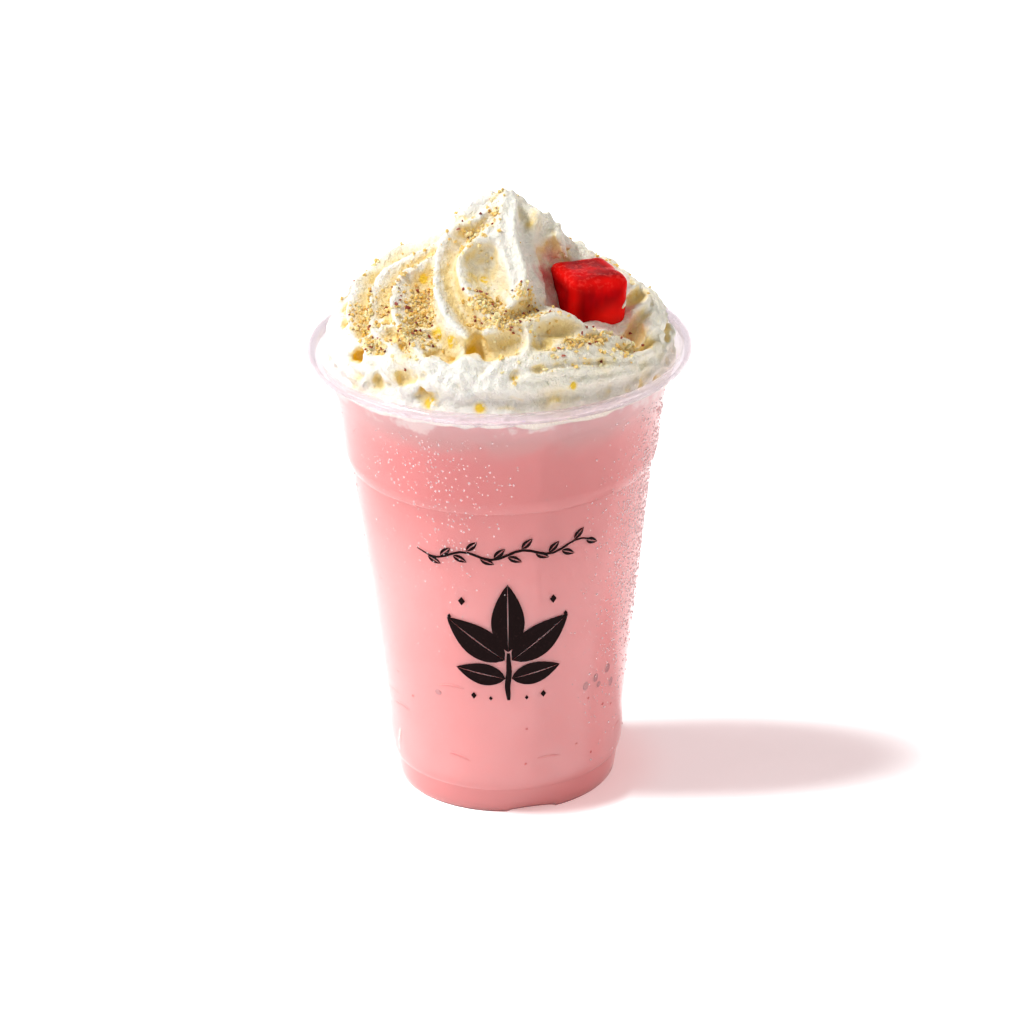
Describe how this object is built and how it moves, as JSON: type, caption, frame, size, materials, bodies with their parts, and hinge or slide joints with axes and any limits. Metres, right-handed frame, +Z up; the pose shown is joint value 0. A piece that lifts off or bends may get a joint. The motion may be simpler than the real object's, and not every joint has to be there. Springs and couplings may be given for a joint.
{
  "type": "falooda in a clear cup",
  "caption": "Pink milk falooda in a clear takeaway cup, with piped whipped cream, chopped nuts and a red jelly cube.",
  "frame": {"origin": "middle of the cup's foot, on the surface it stands on", "axes": "+Z up along the cup's axis, -Y towards the shown side, +X to the right of it"},
  "size_m": [0.098, 0.098, 0.1627],
  "materials": {
    "clear_plastic": "thin clear glossy plastic",
    "pink_milk": "opaque pink milk",
    "whipped_cream": "soft ivory cream with pale nut crumbs",
    "red_jelly": "translucent red jelly"
  },
  "bodies": {
    "root": {"cup": "clear_plastic", "drink": "pink_milk", "cream": "whipped_cream", "jelly": "red_jelly"}
  },
  "joints": []
}
